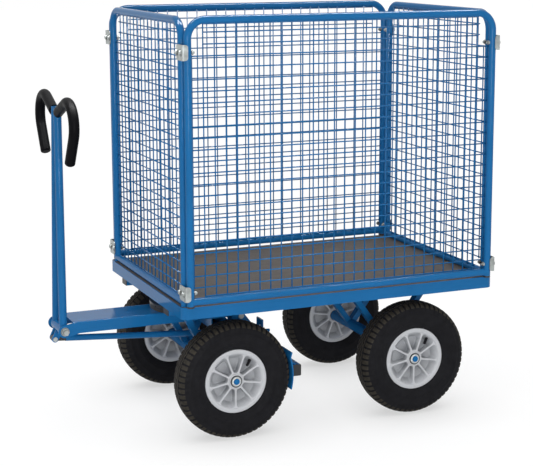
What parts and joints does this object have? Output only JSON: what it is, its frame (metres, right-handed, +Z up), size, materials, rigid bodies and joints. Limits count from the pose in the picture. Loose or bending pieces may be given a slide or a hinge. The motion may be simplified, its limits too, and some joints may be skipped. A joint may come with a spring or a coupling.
{
  "type": "hand-pulled wagon",
  "caption": "four-wheeled platform wagon with mesh side panels, turntable steering and a pull handle that works a brake on the front tyres",
  "frame": {"origin": "on the ground under the middle of the wagon's box", "axes": "+X to the rear along the deck, the pull handle is at -X; +Y to the right side; +Z up"},
  "size_m": [1.5024, 0.847, 1.4213],
  "materials": {
    "blue_paint": "glossy powder coat",
    "board": "film-faced plywood",
    "black_plastic": "moulded",
    "grip": "smooth dipped vinyl",
    "zinc": "zinc plated",
    "tyre_rubber": "block tread",
    "rim_plastic": "satin grey",
    "bearing_steel": "oiled"
  },
  "bodies": {
    "chassis": {"deck_frame": "blue_paint", "deck_board": "board", "deck_beams": "blue_paint", "deck_bearers": "blue_paint", "cross_members": "blue_paint", "tube_plugs": "black_plastic", "panel_left": "blue_paint", "panel_right": "blue_paint", "panel_front": "blue_paint", "panel_rear": "blue_paint", "mesh_left": "blue_paint", "mesh_right": "blue_paint", "mesh_front": "blue_paint", "mesh_rear": "blue_paint", "corner_clips": "zinc", "clip_bolts": "zinc", "clip_backs": "zinc", "upper_plate": "zinc", "kingpin": "zinc", "rear_axle": "blue_paint", "rear_washers": "zinc", "rear_struts": "blue_paint"},
    "steering": {"lower_plate": "zinc", "wear_plate": "black_plastic", "drawbar": "blue_paint", "front_bolster": "blue_paint", "front_axle": "blue_paint", "front_washers": "zinc", "front_struts": "blue_paint", "pivot_bolt": "zinc", "hanger_lugs": "blue_paint", "hanger_pins": "zinc"},
    "handle": {"handle_crossbar": "blue_paint", "handle_tubes": "blue_paint", "hook_rod": "blue_paint", "grip_left": "grip", "grip_right": "grip", "brake_lever": "blue_paint", "lever_pin": "zinc"},
    "brake_link": {"rod_end": "black_plastic", "brake_rod": "blue_paint", "rod_nut": "zinc"},
    "brake_swing": {"brake_beam": "blue_paint", "beam_caps": "black_plastic", "brake_hangers": "blue_paint", "brake_shoes": "blue_paint"},
    "wheel_front_left": {"tyre_front_left": "tyre_rubber", "rim_front_left": "rim_plastic", "bearings_front_left": "bearing_steel"},
    "wheel_front_right": {"tyre_front_right": "tyre_rubber", "rim_front_right": "rim_plastic", "bearings_front_right": "bearing_steel"},
    "wheel_rear_left": {"tyre_rear_left": "tyre_rubber", "rim_rear_left": "rim_plastic", "bearings_rear_left": "bearing_steel"},
    "wheel_rear_right": {"tyre_rear_right": "tyre_rubber", "rim_rear_right": "rim_plastic", "bearings_rear_right": "bearing_steel"}
  },
  "joints": [
    {"name": "steer", "type": "hinge", "parent": "chassis", "child": "steering", "pos_m": [-0.21533, 0, 0.39], "axis": [0, 0, 1], "range_deg": [-90, 90]},
    {"name": "handle_tilt", "type": "hinge", "parent": "steering", "child": "handle", "pos_m": [-0.71933, 0, 0.35195], "axis": [0, -1, 0], "range_deg": [0, 100]},
    {"name": "rod_pivot", "type": "hinge", "parent": "handle", "child": "brake_link", "pos_m": [-0.74017, 0, 0.31434], "axis": [0, -1, 0], "range_deg": [-100, 0]},
    {"name": "brake_hang", "type": "hinge", "parent": "steering", "child": "brake_swing", "pos_m": [-0.09533, 0, 0.35195], "axis": [0, -1, 0], "range_deg": [0, 6]},
    {"name": "roll_front_left", "type": "hinge", "parent": "steering", "child": "wheel_front_left", "pos_m": [-0.21533, -0.328, 0.2], "axis": [0, 1, 0], "continuous": true},
    {"name": "roll_front_right", "type": "hinge", "parent": "steering", "child": "wheel_front_right", "pos_m": [-0.21533, 0.328, 0.2], "axis": [0, 1, 0], "continuous": true},
    {"name": "roll_rear_left", "type": "hinge", "parent": "chassis", "child": "wheel_rear_left", "pos_m": [0.45967, -0.328, 0.2], "axis": [0, 1, 0], "continuous": true},
    {"name": "roll_rear_right", "type": "hinge", "parent": "chassis", "child": "wheel_rear_right", "pos_m": [0.45967, 0.328, 0.2], "axis": [0, 1, 0], "continuous": true}
  ],
  "couplings": [
    {"joint": "rod_pivot", "follows": "handle_tilt", "ratio": -1},
    {"joint": "brake_hang", "follows": "handle_tilt", "ratio": 0.06}
  ]
}
